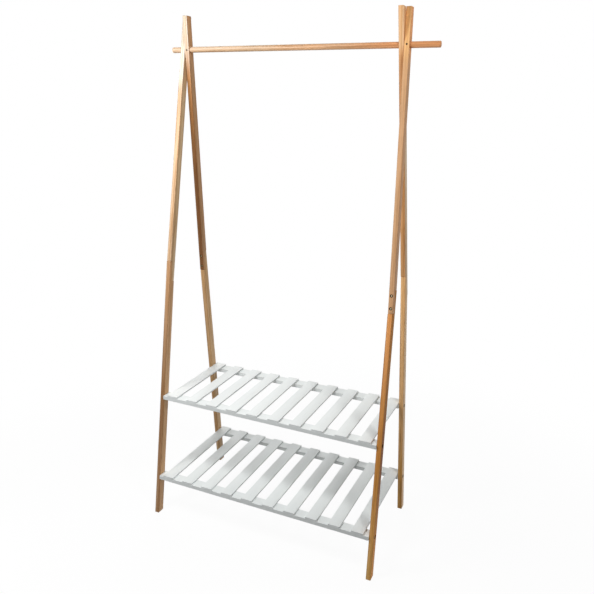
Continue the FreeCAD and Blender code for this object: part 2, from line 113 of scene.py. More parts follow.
def colour(code: str) -> Colour:
    """Turn a screen colour into the linear colour that a shader takes.

    Args:
        code: Six hexadecimal digits, red first.

    Returns:
        Linear red, green, blue and a full alpha.
    """
    parts = [int(code[at : at + 2], 16) / 255 for at in (0, 2, 4)]
    linear = [p / 12.92 if p <= 0.04045 else ((p + 0.055) / 1.055) ** 2.4 for p in parts]
    return (linear[0], linear[1], linear[2], 1.0)


@dataclass(frozen=True)
class RackSizes:
    """Sizes of the whole rack in millimetres, and what follows from them."""

    total_height: float = 1650.0
    rail_height: float = 1548.0
    foot_spread: float = 393.0
    frame_span: float = 748.0
    frame_middle: float = -24.0
    upper_lean: float = math.radians(1.3)
    leg_thickness: float = 15.0
    leg_width: float = 26.0
    leg_gap: float = 0.3
    leg_edge: float = 1.2
    splice_height: float = 834.5
    lap_length: float = 67.0
    lap_gap: float = 0.2
    shoulder_gap: float = 0.5
    splice_pitch: float = 37.0
    shelf_tops: tuple[float, float] = (420.5, 141.0)
    slat_thickness: float = 5.0
    shelf_rail_thickness: float = 13.0

    @property
    def tilt(self) -> float:
        """Angle of every leg from plumb, in radians."""
        return math.atan(self.foot_spread / 2 / self.rail_height)

    def leg_y(self, height: float) -> float:
        """Distance of a leg's middle line from the rail's plane at a height."""
        return self.foot_spread / 2 * (1 - height / self.rail_height)

    def leg_x(self, side: Side, depth: Depth) -> float:
        """Middle of a leg along the rail, below its splice."""
        step = (self.leg_thickness + self.leg_gap) / 2
        return self.frame_middle + side.value * (self.frame_span / 2 - depth.value * step)

    def clear_span(self, depth: Depth) -> float:
        """Find the room between the two legs that one shelf rail joins.

        Args:
            depth: Which of the shelf's two rails.

        Returns:
            The room along X.
        """
        if depth is Depth.FRONT:
            return self.frame_span + self.leg_gap
        return self.frame_span - self.leg_gap - 2 * self.leg_thickness

    def shelf_rail_height(self, top: float) -> float:
        """Height of the middle of a shelf's rails, from the top of its slats."""
        return top - self.slat_thickness - self.shelf_rail_thickness / 2


@dataclass
class Graph:
    """Shorthand for adding and joining the nodes of one tree."""

    tree: NodeTree

    def node(self, kind: str, values: dict[Any, Any] | None = None, **settings: Any) -> Node:
        """Add a node.

        Args:
            kind: Blender's name for the node type.
            values: What each input takes, either a plain value or a socket to join.
            settings: Properties of the node itself.

        Returns:
            The new node.
        """
        made = self.tree.nodes.new(kind)
        for name, value in settings.items():
            setattr(made, name, value)
        for key, value in (values or {}).items():
            if isinstance(value, NodeSocket):
                self.tree.links.new(value, made.inputs[key])
            else:
                made.inputs[key].default_value = value
        return made

    def out(self, kind: str, values: dict[Any, Any] | None = None, **settings: Any) -> NodeSocket:
        """Add a node and give its first output."""
        return self.node(kind, values, **settings).outputs[0]

    def math(self, operation: str, first: Any, second: Any = 0.0) -> NodeSocket:
        """Join two numbers by an operation and give the result's socket."""
        return self.out("ShaderNodeMath", {0: first, 1: second}, operation=operation)

    def times(self, first: Any, second: Any) -> NodeSocket:
        """Multiply two numbers and give the result's socket."""
        return self.math("MULTIPLY", first, second)

    def vector(self, operation: str, first: Any, second: Any) -> NodeSocket:
        """Join two vectors by an operation and give the result's socket."""
        return self.out("ShaderNodeVectorMath", {0: first, 1: second}, operation=operation)

    def mix(self, factor: Any, first: Any, second: Any, blend: str = "MIX") -> NodeSocket:
        """Blend two colours and give the result's socket."""
        values = {0: factor, 6: first, 7: second}
        return self.node("ShaderNodeMix", values, data_type="RGBA", blend_type=blend).outputs[2]

    def shade(self, base: NodeSocket, level: NodeSocket) -> NodeSocket:
        """Multiply a colour by a number and give the result's socket."""
        grey = self.out("ShaderNodeCombineColor", {0: level, 1: level, 2: level})
        return self.mix(1.0, base, grey, "MULTIPLY")

    def span(self, value: Any, low: Any, high: Any, start: float = 0.0, stop: float = 1.0) -> NodeSocket:
        """Ease a value from one range into another.

        Args:
            value: Socket or number to ease.
            low: Value that gives start.
            high: Value that gives stop.
            start: First end of the result.
            stop: Other end of the result.

        Returns:
            Socket of the eased value.
        """
        values = {0: value, 1: low, 2: high, 3: start, 4: stop}
        return self.out("ShaderNodeMapRange", values, interpolation_type="SMOOTHSTEP")

    def noise(self, place: Any, stretch: Point, detail: float, rough: float = 0.5) -> NodeSocket:
        """Noise that is stretched along the axes.

        Args:
            place: Socket of the coordinates in metres.
            stretch: Repeats in a metre along each axis.
            detail: Number of finer layers.
            rough: Weight of those layers.

        Returns:
            Socket of the noise, from 0 to 1.
        """
        scaled = self.vector("MULTIPLY", place, stretch)
        values = {"Vector": scaled, "Scale": 1.0, "Detail": detail, "Roughness": rough}
        return self.node("ShaderNodeTexNoise", values).outputs["Fac"]


def new_tree(kind: str, name: str, inputs: Sockets, outputs: Sockets) -> tuple[Graph, NodeOutputs]:
    """Start a node group.

    Args:
        kind: Blender's name for the type of tree.
        name: Name of the group.
        inputs: Names of the inputs of each kind of socket.
        outputs: Names of the outputs of each kind of socket.

    Returns:
        The group's graph, and the sockets that its inputs come in by.
    """
    tree = bpy.data.node_groups.new(name, kind)
    for way, sockets in (("INPUT", inputs), ("OUTPUT", outputs)):
        for sort, labels in sockets.items():
            for label in labels:
                tree.interface.new_socket(label, in_out=way, socket_type=f"NodeSocket{sort}")
    graph = Graph(tree)
    return graph, graph.node("NodeGroupInput").outputs


def cleared(owner: Material | World) -> Graph:
    """Empty the node tree of a material or a world.

    Args:
        owner: What the tree belongs to.

    Returns:
        Graph of the emptied tree.
    """
    owner.use_nodes = True
    owner.node_tree.nodes.clear()
    return Graph(owner.node_tree)


@cache
def grain_group() -> NodeTree:
    """Grain of planed and oiled wood whose fibres run along Z and whose front face is towards -Y, with tones
    that are partly painted light and shade.

    Returns:
        Group that gives colour, roughness and relief.
    """
    tones = tuple(f"{part} {stage}" for part in ("Body", "Face") for stage in STAGES)
    sockets = {
        "Vector": ("Place",),
        "Color": (*tones, "Tint", "Streak"),
        "Float": ("End From", "End To", "Figure", "Streaks", "Edges"),
    }
    graph, take = new_tree("ShaderNodeTree", "wood_grain", sockets, SURFACE)
    place = take["Place"]
    axes = graph.node("ShaderNodeSeparateXYZ", {0: place}).outputs
    wander = graph.node("ShaderNodeTexNoise", {"Vector": place, "Scale": 3.2, "Detail": 2.0}).outputs["Color"]
    centred = graph.vector("SUBTRACT", wander, (0.5, 0.5, 0.5))
    reach = graph.vector("MULTIPLY", centred, (0.016, 0.016, 0.0))
    bent = graph.vector("ADD", place, reach)
    bands = graph.span(graph.noise(bent, (150.0, 150.0, 1.9), 3.0, 0.55), 0.36, 0.66)
    fibres = graph.noise(bent, (760.0, 760.0, 11.0), 3.0, 0.6)
    pores = graph.span(graph.noise(bent, (2300.0, 2300.0, 75.0), 1.0), 0.63, 0.72)
    veins = graph.span(graph.noise(bent, (210.0, 210.0, 2.6), 2.0, 0.6), 0.57, 0.72)
    drift = graph.noise(place, (9.0, 9.0, 2.4), 2.0)
    swing = graph.math("SUBTRACT", drift, 0.5)
    height = graph.math("ADD", axes["Z"], graph.times(swing, 0.3))
    along = graph.span(height, take["End From"], take["End To"])
    first_half = graph.span(along, 0.0, 0.5)
    last_half = graph.span(along, 0.5, 1.0)

    def tone_and_painted_light(part: str) -> NodeSocket:
        """Tone of the body or the face by the distance along the stick, partly painted light and shade."""
        early = graph.mix(first_half, take[f"{part} First"], take[f"{part} Middle"])
        return graph.mix(last_half, early, take[f"{part} End"])

    # Face and sides take their own tone sets, which partly paint how the light fell on each
    front = graph.span(graph.math("ADD", axes["Y"], graph.times(swing, 0.006)), *FACE_FADE)
    plain = graph.mix(front, tone_and_painted_light("Body"), tone_and_painted_light("Face"))
    figured = graph.mix(graph.times(bands, take["Figure"]), plain, take["Tint"], "MULTIPLY")
    veined = graph.mix(graph.times(veins, take["Streaks"]), figured, take["Streak"])
    # Painted shade: the stick's long edges are darkened in the streak colour, where its rounded edges turn
    # from the light
    across = graph.span(graph.math("ABSOLUTE", axes["X"]), *SHADE_EDGE_ACROSS)
    deep = graph.span(graph.math("ABSOLUTE", axes["Y"]), *SHADE_EDGE_DEEP)
    arris_shade = graph.times(graph.times(across, deep), graph.span(drift, 0.25, 0.7, 0.55, 1.0))
    edge_shaded = graph.mix(graph.times(arris_shade, take["Edges"]), veined, take["Streak"])
    tint = graph.span(fibres, 0.25, 0.75, 0.84, 1.12)
    lifted = graph.times(tint, graph.span(drift, 0.25, 0.75, 0.9, 1.08))
    dotted = graph.times(lifted, graph.span(pores, 0.0, 1.0, 1.0, 0.84))
    gloss = graph.math("ADD", graph.span(fibres, 0.3, 0.7, 0.5, 0.4), graph.times(pores, 0.12))
    relief = graph.math("SUBTRACT", fibres, graph.times(pores, 0.7))
    final = graph.shade(edge_shaded, dotted)
    graph.node("NodeGroupOutput", {"Colour": final, "Roughness": gloss, "Height": relief})
    return graph.tree


@cache
def paint_group() -> NodeTree:
    """Sprayed and wiped paint over wood, with faint brushed lines along Y.

    Returns:
        Group that gives colour, roughness and relief.
    """
    sockets = {"Vector": ("Place",), "Color": ("Paint", "Thin"), "Float": ("Tone",)}
    graph, take = new_tree("ShaderNodeTree", "wood_paint", sockets, SURFACE)
    place = take["Place"]
    lines = graph.noise(place, (900.0, 22.0, 900.0), 3.0, 0.6)
    cloud = graph.noise(place, (14.0, 6.0, 14.0), 2.0)
    peel = graph.noise(place, (1500.0, 1500.0, 1500.0), 1.0)
    thin = graph.times(graph.span(lines, 0.5, 0.78), graph.span(cloud, 0.35, 0.7, 0.15, 0.5))
    film = graph.mix(thin, take["Paint"], take["Thin"])
    own = graph.span(take["Tone"], 0.0, 1.0, 0.965, 1.0)
    level = graph.times(own, graph.span(cloud, 0.25, 0.75, 0.975, 1.0))
    gloss = graph.span(cloud, 0.3, 0.7, 0.36, 0.48)
    relief = graph.math("ADD", graph.times(lines, 0.7), graph.times(peel, 0.3))
    final = graph.shade(film, level)
    graph.node("NodeGroupOutput", {"Colour": final, "Roughness": gloss, "Height": relief})
    return graph.tree


@cache
def steel_group() -> NodeTree:
    """Turned and plated steel with fine scuffs.

    Returns:
        Group that gives colour, roughness and relief.
    """
    sockets = {"Vector": ("Place",), "Color": ("Plate", "Scuff", "Worn"), "Float": ("Bare", "Gloss")}
    graph, take = new_tree("ShaderNodeTree", "plated_steel", sockets, SURFACE)
    scuffs = graph.noise(take["Place"], (1400.0, 900.0, 1400.0), 4.0, 0.65)
    plated = graph.mix(graph.span(scuffs, 0.52, 0.75), take["Plate"], take["Scuff"])
    final = graph.mix(take["Bare"], plated, take["Worn"])
    gloss = graph.math("ADD", take["Gloss"], graph.span(scuffs, 0.3, 0.7, -0.06, 0.1))
    graph.node("NodeGroupOutput", {"Colour": final, "Roughness": gloss, "Height": scuffs})
    return graph.tree


@dataclass(frozen=True)
class Surface:
    """A finish: its effect, the depth of its relief in metres, and how it shines."""

    name: str
    relief: ClassVar[float] = 0.0

    def effect(self) -> Effect:
        """Effect group of the finish, with the values of its inputs."""
        raise NotImplementedError

    def shine(self) -> dict[str, Any]:
        """Plain values of the shader's own sockets."""
        raise NotImplementedError

    def marks(self) -> dict[str, str]:
        """Inputs of the effect that follow an attribute of the mesh; most finishes have none."""
        return {}

    def material(self, turn: Matrix) -> Material:
        """Make the finish's material.

        Args:
            turn: Where the piece's own axes lie.

        Returns:
            The new material.
        """
        material = bpy.data.materials.new(self.name)
        graph = cleared(material)
        where, how, _ = turn.inverted().decompose()
        coordinates = graph.node("ShaderNodeTexCoord").outputs["Object"]
        placing = {"Vector": coordinates, "Location": where, "Rotation": how.to_euler("XYZ")}
        group, values = self.effect()
        values["Place"] = graph.out("ShaderNodeMapping", placing)
        for label, name in self.marks().items():
            values[label] = graph.node("ShaderNodeAttribute", attribute_name=name).outputs["Fac"]
        effect = graph.node("ShaderNodeGroup", values, node_tree=group).outputs
        bump = {"Height": effect["Height"], "Distance": self.relief, "Strength": 1.0}
        skin = {
            "Base Color": effect["Colour"],
            "Roughness": effect["Roughness"],
            "Normal": graph.out("ShaderNodeBump", bump),
            **self.shine(),
        }
        graph.node("ShaderNodeOutputMaterial", {"Surface": graph.out("ShaderNodeBsdfPrincipled", skin)})
        return material


@dataclass(frozen=True)
class WoodFinish(Surface):
    """One stick's oiled wood, with fibres along Z and its face at -Y.

    The body and the face each have a first, a middle and an end tone, which follow each other along
    the stick over the reach, in metres. They are partly the wood's own tones and partly painted light and
    shade.
    """

    body: Tones
    face: Tones
    reach: tuple[float, float]
    tint: str = "DBC8AB"
    streak: str = "8A5A30"
    figure: float = 0.8
    streaks: float = 0.5
    # Strength of the painted shade along the long edges
    edges: float = 0.3
    sheen: float = 0.22
    relief: ClassVar[float] = 0.0001

    def effect(self) -> Effect:
        """Grain in the stick's tones, partly its own and partly painted light and shade.

        Returns:
            The grain group and the values of its inputs.
        """
        values: dict[str, Any] = {
            "Tint": colour(self.tint),
            "Streak": colour(self.streak),
            "End From": self.reach[0],
            "End To": self.reach[1],
            "Figure": self.figure,
            "Streaks": self.streaks,
            "Edges": self.edges,
        }
        for part, tones in (("Body", self.body), ("Face", self.face)):
            for stage, tone in zip(STAGES, tones):
                values[f"{part} {stage}"] = colour(tone)
        return grain_group(), values

    def shine(self) -> dict[str, Any]:
        """Sheen of the oil."""
        return {"Specular IOR Level": self.sheen}


@dataclass(frozen=True)
class PaintFinish(Surface):
    """White paint on the shelf wood, with its brushed lines along Y."""

    paint: str = "EAEEED"
    thin: str = "D7DBDB"
    tone: float = 0.6
    sheen: float = 0.3
    by_piece: bool = False
    relief: ClassVar[float] = 0.00006

    def effect(self) -> Effect:
        """Paint in its two thicknesses."""
        return paint_group(), {"Paint": colour(self.paint), "Thin": colour(self.thin), "Tone": self.tone}

    def shine(self) -> dict[str, Any]:
        """Sheen of the paint."""
        return {"Specular IOR Level": self.sheen}

    def marks(self) -> dict[str, str]:
        """Let each slat of a row have its own tone."""
        return {"Tone": "tone"} if self.by_piece else {}


@dataclass(frozen=True)
class SteelFinish(Surface):
    """Plated or blackened steel of the fasteners."""

    plate: str = "C9CBCC"
    scuff: str = "9FA1A3"
    worn: str = "DADAD8"
    gloss: float = 0.28
    glance: str = "FFFFFF"
    relief: ClassVar[float] = 0.00002

    def effect(self) -> Effect:
        """Steel with its plating and its bare spots."""
        tones = {"Plate": self.plate, "Scuff": self.scuff, "Worn": self.worn}
        return steel_group(), {"Gloss": self.gloss} | {label: colour(tone) for label, tone in tones.items()}

    def shine(self) -> dict[str, Any]:
        """Metal, with its own tint at a glancing angle."""
        return {"Metallic": 1.0, "Specular Tint": colour(self.glance)}

    def marks(self) -> dict[str, str]:
        """Let the middle of a head be worn bare by the key that turns it."""
        return {"Bare": "bare"}


def link_mesh(name: str, mesh: Mesh) -> Object:
    """Put a mesh in the scene.

    Args:
        name: Name of the object.
        mesh: Its mesh.

    Returns:
        The new object, at the origin.
    """
    made = bpy.data.objects.new(name, mesh)
    bpy.context.scene.collection.objects.link(made)
    return made


def link_form(name: str, form: bmesh.types.BMesh) -> Object:
    """Turn a finished form into an object of the scene.

    Args:
        name: Name of the object and its mesh.
        form: The form, which is used up.

    Returns:
        The new object, at the origin.
    """
    mesh = bpy.data.meshes.new(name)
    form.to_mesh(mesh)
    form.free()
    return link_mesh(name, mesh)


def discard(obj: Object) -> None:
    """Take a helper object and its mesh out of the file.

    Args:
        obj: The helper.
    """
    mesh = obj.data
    bpy.data.objects.remove(obj)
    bpy.data.meshes.remove(mesh)


def freeze(obj: Object, smooth: float = 35.0) -> Object:
    """Turn an object and its modifiers into a plain mesh with smooth faces and crisp edges.

    Args:
        obj: Object whose modifiers are finished.
        smooth: Angle in degrees above which an edge stays crisp.

    Returns:
        The same object with its final mesh and no modifiers.
    """
    graph = bpy.context.evaluated_depsgraph_get()
    graph.update()
    mesh = bpy.data.meshes.new_from_object(obj.evaluated_get(graph))
    old = obj.data
    obj.modifiers.clear()
    obj.data = mesh
    bpy.data.meshes.remove(old)
    mesh.name = obj.name
    mesh.polygons.foreach_set("use_smooth", [True] * len(mesh.polygons))
    mesh.set_sharp_from_angle(angle=math.radians(smooth))
    mesh.update()
    return obj


def lathe(form: bmesh.types.BMesh, rings: Sequence[Ring], place: Matrix, steps: int) -> None:
    """Turn a closed shape about Z and add it to a mesh.

    Args:
        form: Mesh that takes the shape.
        rings: Radius and height of each ring in millimetres, from one end to the other.
        place: Where the shape goes, in metres.
        steps: Number of points round each ring.
    """
    loops = []
    for radius, height in rings:
        loop = []
        for step in range(steps):
            turn = 2 * math.pi * step / steps
            reach = radius(turn) if callable(radius) else radius
            point = Vector((reach * math.cos(turn), reach * math.sin(turn), height)) * MM
            loop.append(form.verts.new(place @ point))
        loops.append(loop)
    faces = []
    for low, high in zip(loops, loops[1:]):
        for step in range(steps):
            after = (step + 1) % steps
            faces.append(form.faces.new((low[step], low[after], high[after], high[step])))
    faces.append(form.faces.new(tuple(reversed(loops[0]))))
    faces.append(form.faces.new(tuple(loops[-1])))
    bmesh.ops.recalc_face_normals(form, faces=faces)


def stepped(shank: float, head: float, start: float, seat: float, stop: float) -> list[Ring]:
    """Rings of a hole with two diameters, which meet at the seat of a head."""
    return [(shank / 2, start), (shank / 2, seat), (head / 2, seat), (head / 2, stop)]


def finish_piece(obj: Object, nodes: Iterable[str]) -> None:
    """Tie a finished piece to the frame.

    Args:
        obj: The finished piece.
        nodes: Nodes that it stands for.
    """
    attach(obj, BODY)
    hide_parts(*nodes)
    log.info("%s: %d faces for %s", obj.name, len(obj.data.polygons), ", ".join(nodes))


def paint_node(name: str, material: Material) -> None:
    """Give a node that keeps its own solid a better material.

    Args:
        name: Name of the node.
        material: Its new material.
    """
    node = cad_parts[name]
    for holder in node.material_slots:
        holder.material = material
    log.info("%s: keeps its solid, finished as %s", name, material.name)


@dataclass
class LegPiece:
    """One piece of a spliced leg, with its half of the lap, its holes and its eased edges."""

    sizes: RackSizes
    side: Side
    depth: Depth
    half: Half
    finish: WoodFinish
    rail_hole: float = 18.8
    rail_mouth: float = 0.8
    head_hole: float = 9.4
    head_seat: float = 4.3
    shank_hole: float = 6.4
    insert_hole: float = 9.2
    insert_depth: float = 10.0
    lock_hole: float = 3.2
    lock_head: float = 5.4
    lock_seat: float = 1.2
    lock_start: float = 4.0
    shelf_hole: float = 5.4
    shelf_head: float = 12.4
    shelf_seat: float = 4.4
    lap_overrun: float = 0.5
    drill_overrun: float = 1.0
    hole_steps: int = 48
    edge_steps: int = 3

    @property
    def name(self) -> str:
        """Name of the node that this piece stands for."""
        return f"{self.side.name}_{self.depth.name}_{self.half.name}_leg".lower()

    @property
    def tongue(self) -> int:
        """Side of the leg's own Y axis that the upper half of the lap is on."""
        return -self.side.value

    @property
    def lean(self) -> float:
        """Inward lean of the leg's upper piece about its own Y axis, in radians."""
        return self.side.value * self.depth.value * self.sizes.upper_lean

    @property
    def facing(self) -> Matrix:
        """Half turn that a rear leg has about Z."""
        return Matrix.Rotation(math.pi if self.depth is Depth.REAR else 0.0, 4, "Z")

    @property
    def place(self) -> Matrix:
        """Find where the piece's own axes lie.

        Returns:
            Its place and turn from the middle of its lap, in metres.
        """
        sizes = self.sizes
        height = sizes.splice_height
        spot = Vector((sizes.leg_x(self.side, self.depth), self.depth.value * sizes.leg_y(height), height))
        pitch = self.lean if self.half is Half.UPPER else 0.0
        turn = self.facing @ Matrix.Rotation(pitch, 4, "Y") @ Matrix.Rotation(-sizes.tilt, 4, "X")
        return Matrix.Translation(spot * MM) @ turn

    @property
    def grain_place(self) -> Matrix:
        """The piece's own axes, turned so that -Y is at the front of the rack on every leg."""
        return self.place @ self.facing

    @property
    def rail_spot(self) -> tuple[float, float]:
        """Find where the rail crosses an upper piece.

        Returns:
            The spot along the piece's own Y and Z.
        """
        sizes = self.sizes
        rise = (sizes.rail_height - sizes.splice_height) / math.cos(sizes.upper_lean)
        across = sizes.leg_y(sizes.splice_height)
        sine = math.sin(sizes.tilt)
        cosine = math.cos(sizes.tilt)
        return across * cosine - rise * sine, across * sine + rise * cosine

    def outline(self) -> list[tuple[float, float]]:
        """Draw the piece from the side.

        Returns:
            Its corners along its own Y and Z.
        """
        sizes = self.sizes
        half_lap = sizes.lap_length / 2
        shoulder = half_lap + sizes.shoulder_gap
        slope = math.tan(sizes.tilt)
        if self.half is Half.UPPER:
            rise = (sizes.total_height - sizes.splice_height) / math.cos(sizes.upper_lean)
            way = 1
        else:
            rise = -sizes.splice_height
            way = -1
        end = rise / math.cos(sizes.tilt)
        lap = way * self.tongue
        outer = lap * sizes.leg_width / 2
        inner = lap * sizes.lap_gap / 2
        return [
            (outer, -way * half_lap),
            (inner, -way * half_lap),
            (inner, way * shoulder),
            (-outer, way * shoulder),
            (-outer, end - outer * slope),
            (outer, end + outer * slope),
        ]

    def blank(self) -> Object:
        """Saw the stick to its outline, with square edges.

        Returns:
            The sawn stick.
        """
        form = bmesh.new()
        reach = self.sizes.leg_thickness / 2
        near = [form.verts.new(self.place @ (Vector((-reach, y, z)) * MM)) for y, z in self.outline()]
        far = [form.verts.new(self.place @ (Vector((reach, y, z)) * MM)) for y, z in self.outline()]
        form.faces.new(near)
        form.faces.new(list(reversed(far)))
        count = len(near)
        for index in range(count):
            after = (index + 1) % count
            form.faces.new((near[index], near[after], far[after], far[index]))
        bmesh.ops.recalc_face_normals(form, faces=form.faces)
        return link_form(f"{self.name}_wood", form)

    def drill(self, spot: Point, axis: Vector) -> Matrix:
        """Where a drill stands on the piece, from a spot on it and an axis of its own."""
        turn = Vector((0, 0, 1)).rotation_difference(axis).to_matrix().to_4x4()
        return self.place @ Matrix.Translation(Vector(spot) * MM) @ turn

    def upper_bores(self) -> list[list[Hole]]:
        """Holes of an upper piece: the rail's first, then those of the lap bolts and the rail screw.

        Returns:
            For each round, the rings of every hole and where its drill stands.
        """
        half_width = self.sizes.leg_width / 2
        outside = half_width + self.drill_overrun
        across, along = self.rail_spot
        face = self.sizes.leg_thickness / 2
        bore = self.rail_hole / 2
        wide = bore + self.rail_mouth
        mouth = [(bore, face - self.rail_mouth), (wide, face), (wide, face + self.drill_overrun)]
        rail = [(radius, -depth) for radius, depth in reversed(mouth)] + mouth
        seat = half_width - self.head_seat
        bolt = stepped(self.shank_hole, self.head_hole, -self.lap_overrun, seat, outside)
        seat = half_width - self.lock_seat
        lock = stepped(self.lock_hole, self.lock_head, self.lock_start, seat, outside)
        axis = Vector((0, self.tongue, 0))
        rise = self.sizes.splice_pitch / 2
        holes = [(bolt, self.drill((0, 0, way * rise), axis)) for way in (1, -1)]
        holes.append((lock, self.drill((0, 0, along), axis)))
        return [[(rail, self.drill((0, across, along), Vector((1, 0, 0))))], holes]

    def lower_bores(self) -> list[list[Hole]]:
        """Holes of a lower piece, for the lap's inserts and the shelf bolts.

        Returns:
            One round, with the rings of every hole and where its drill stands.
        """
        sizes = self.sizes
        rise = sizes.splice_pitch / 2
        drift = rise * math.cos(sizes.tilt) * math.sin(self.lean)
        insert = [(self.insert_hole / 2, -self.lap_overrun), (self.insert_hole / 2, self.insert_depth)]
        axis = Vector((0, -self.tongue, 0))
        holes = [(insert, self.drill((way * drift, 0, way * rise), axis)) for way in (1, -1)]
        face = sizes.leg_thickness / 2
        reach = face + self.drill_overrun
        bolt = stepped(self.shelf_hole, self.shelf_head, -reach, face - self.shelf_seat, reach)
        axis = Vector((-self.side.value * self.depth.value, 0, 0))
        for top in sizes.shelf_tops:
            along = (sizes.shelf_rail_height(top) - sizes.splice_height) / math.cos(sizes.tilt)
            holes.append((bolt, self.drill((0, 0, along), axis)))
        return [holes]

    def build(self) -> None:
        """Saw, ease, drill and finish the piece."""
        stick = self.blank()
        ease = stick.modifiers.new("ease", "BEVEL")
        ease.width = self.sizes.leg_edge * MM
        ease.segments = self.edge_steps
        ease.limit_method = "ANGLE"
        cutters = []
        rounds = self.upper_bores() if self.half is Half.UPPER else self.lower_bores()
        for number, holes in enumerate(rounds):
            form = bmesh.new()
            for rings, spot in holes:
                lathe(form, rings, spot, self.hole_steps)
            cutter = link_form(f"{self.name}_bore_{number}", form)
            cut = stick.modifiers.new(f"bore_{number}", "BOOLEAN")
            cut.operation = "DIFFERENCE"
            cut.solver = "EXACT"
            cut.object = cutter
            cutters.append(cutter)
        freeze(stick)
        for cutter in cutters:
            discard(cutter)
        stick.data.materials.clear()
        stick.data.materials.append(self.finish.material(self.grain_place))
        finish_piece(stick, [self.name])


@dataclass
class LegFrames:
    """The two pairs of crossed legs, eight pieces in all."""

    sizes: RackSizes
    finishes: dict[tuple[Side, Depth, Half], WoodFinish]
    pieces: list[LegPiece] = field(default_factory=list)

    def build(self) -> None:
        """Make every piece of every leg."""
        for (side, depth, half), finish in self.finishes.items():
            piece = LegPiece(self.sizes, side, depth, half, finish)
            piece.build()
            self.pieces.append(piece)

    def uppers(self) -> list[LegPiece]:
        """Upper pieces, which carry the lap bolts and the rail screws."""
        return [piece for piece in self.pieces if piece.half is Half.UPPER]


@dataclass
class HangingRail:
    """Round rail through the tops of the legs."""

    sizes: RackSizes
    finish: WoodFinish
    diameter: float = 18.0
    overhangs: tuple[float, float] = (36.6, 84.6)
    end_round: float = 2.5
    end_trim: float = 0.02
    end_core: float = 0.35
    end_steps: int = 5
    lengths: int = 12
    steps: int = 64

    @property
    def half_length(self) -> float:
        """Work out the rail's length from the leg frames' outer faces and the overhangs.

        Returns:
            Half of the length.
        """
        sizes = self.sizes
        lean = sizes.upper_lean
        inset = (sizes.rail_height - sizes.splice_height) * math.tan(lean)
        beside = (sizes.leg_thickness + sizes.leg_gap) / 2 + sizes.leg_thickness / 2 / math.cos(lean)
        return sizes.frame_span / 2 + beside - inset + sum(self.overhangs) / 2 - self.end_trim

    def profile(self) -> list[Ring]:
        """Draw the rail with its rounded ends.

        Returns:
            Rings from one end to the other.
        """
        radius = self.diameter / 2
        rings: list[Ring] = [(radius * self.end_core, 0.0)]
        for step in range(self.end_steps + 1):
            turn = math.pi / 2 * step / self.end_steps
            inset = radius - self.end_round * (1 - math.sin(turn))
            rings.append((inset, self.end_round * (1 - math.cos(turn))))
        length = 2 * self.half_length
        middle = [(radius, length * share / self.lengths) for share in range(1, self.lengths)]
        mirrored = [(reach, length - height) for reach, height in reversed(rings)]
        return rings + middle + mirrored

    def build(self) -> None:
        """Turn and finish the rail."""
        start = Vector((-self.half_length, 0, self.sizes.rail_height)) * MM
        place = Matrix.Translation(start) @ Matrix.Rotation(math.pi / 2, 4, "Y")
        form = bmesh.new()
        lathe(form, self.profile(), place, self.steps)
        rail = freeze(link_form("hanging_rail_wood", form))
        rail.data.materials.append(self.finish.material(place))
        finish_piece(rail, ["hanging_rail"])


def close_tree(graph: Graph, instances: NodeSocket, finish: NodeSocket) -> NodeTree:
    """End a geometry tree by making its instances real and giving them their finish.

    Args:
        graph: Graph of the tree.
        instances: Socket of the placed instances.
        finish: Socket of their material.

    Returns:
        The finished tree.
    """
    real = graph.out("GeometryNodeRealizeInstances", {"Geometry": instances})
    dressed = graph.out("GeometryNodeSetMaterial", {"Geometry": real, "Material": finish})
    graph.node("NodeGroupOutput", {"Geometry": dressed})
    return graph.tree


@cache
def slat_tree() -> NodeTree:
    """Geometry tree that lays a row of slats with eased long edges along X.

    Returns:
        The tree, with named inputs for its sizes.
    """
    sockets = {
        **GEOMETRY,
        "Int": ("Count", "Seed", "Edge Steps"),
        "Float": ("Step", "Width", "Thickness", "Length", "Edge"),
        "Vector": ("First",),
        "Material": ("Finish",),
    }
    graph, given = new_tree("GeometryNodeTree", "slat_row", sockets, GEOMETRY)
    outline = {"Width": given["Width"], "Height": given["Thickness"]}
    section = graph.out("GeometryNodeCurvePrimitiveQuadrilateral", outline)
    easing = {"Curve": section, "Radius": given["Edge"], "Count": given["Edge Steps"]}
    eased = graph.out("GeometryNodeFilletCurve", easing, mode="POLY")
    ends = {}
    for end, share in (("Start", -0.5), ("End", 0.5)):
        ends[end] = graph.out("ShaderNodeCombineXYZ", {"Z": graph.times(given["Length"], share)})
    line = graph.out("GeometryNodeCurvePrimitiveLine", ends)
    sweep = {"Curve": line, "Profile Curve": eased, "Fill Caps": True}
    bar = graph.out("GeometryNodeCurveToMesh", sweep)
    laid = graph.out("GeometryNodeTransform", {"Geometry": bar, "Rotation": (math.pi / 2, 0, 0)})
    pace = graph.out("ShaderNodeCombineXYZ", {"X": given["Step"]})
    row = {"Count": given["Count"], "Start Location": given["First"], "Offset": pace}
    spots = graph.out("GeometryNodeMeshLine", row)
    placed = graph.out("GeometryNodeInstanceOnPoints", {"Points": spots, "Instance": laid})
    chance = graph.node("FunctionNodeRandomValue", {"Seed": given["Seed"]}, data_type="FLOAT").outputs[1]
    mark = {"Geometry": placed, "Name": "tone", "Value": chance}
    marked = graph.out("GeometryNodeStoreNamedAttribute", mark, data_type="FLOAT", domain="INSTANCE")
    return close_tree(graph, marked, given["Finish"])


